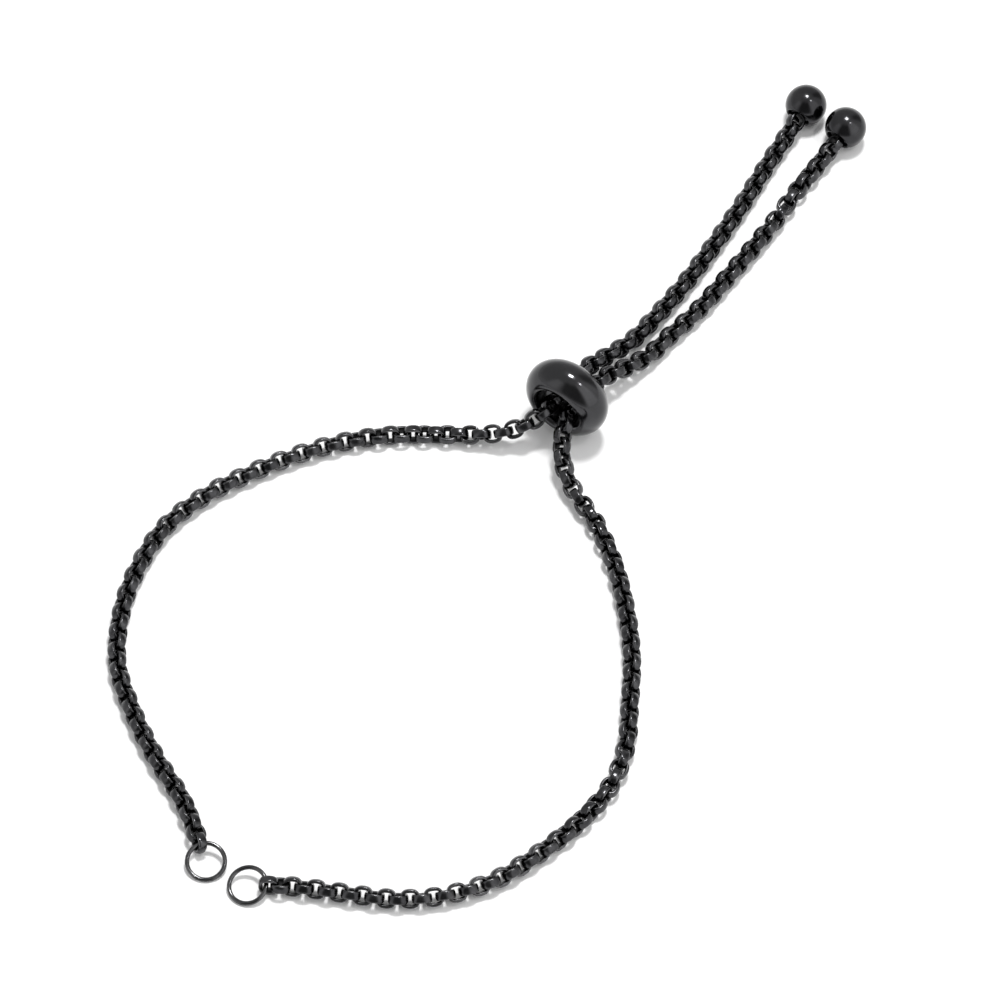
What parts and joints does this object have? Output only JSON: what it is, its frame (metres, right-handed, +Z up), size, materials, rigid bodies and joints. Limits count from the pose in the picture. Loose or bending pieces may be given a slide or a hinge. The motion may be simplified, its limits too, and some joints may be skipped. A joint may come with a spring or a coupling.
{
  "type": "slider bracelet",
  "caption": "Adjustable bolo bracelet of dark box chain: a loop for the wrist whose two chains share one slider bead and end in balls, with a jump ring on each loop end.",
  "frame": {"origin": "centre of the laid-out bracelet's bounding box on the surface that it lies on", "axes": "+Y runs along the slider bead's bore from the wrist loop to the end balls, +X to the right seen from above with the balls at the top, +Z up from the surface"},
  "size_m": [0.0524, 0.1065, 0.0084],
  "materials": {
    "chain_steel": "polished gunmetal plating",
    "bead_steel": "mirror-polished gunmetal plating",
    "ball_steel": "mirror-polished gunmetal plating",
    "ring_steel": "polished gunmetal plating"
  },
  "bodies": {
    "root": {"chain_left": "chain_steel", "chain_right": "chain_steel", "slider_bead": "bead_steel", "end_ball_left": "ball_steel", "end_ball_right": "ball_steel", "jump_ring_left": "ring_steel", "jump_ring_right": "ring_steel"}
  },
  "joints": []
}
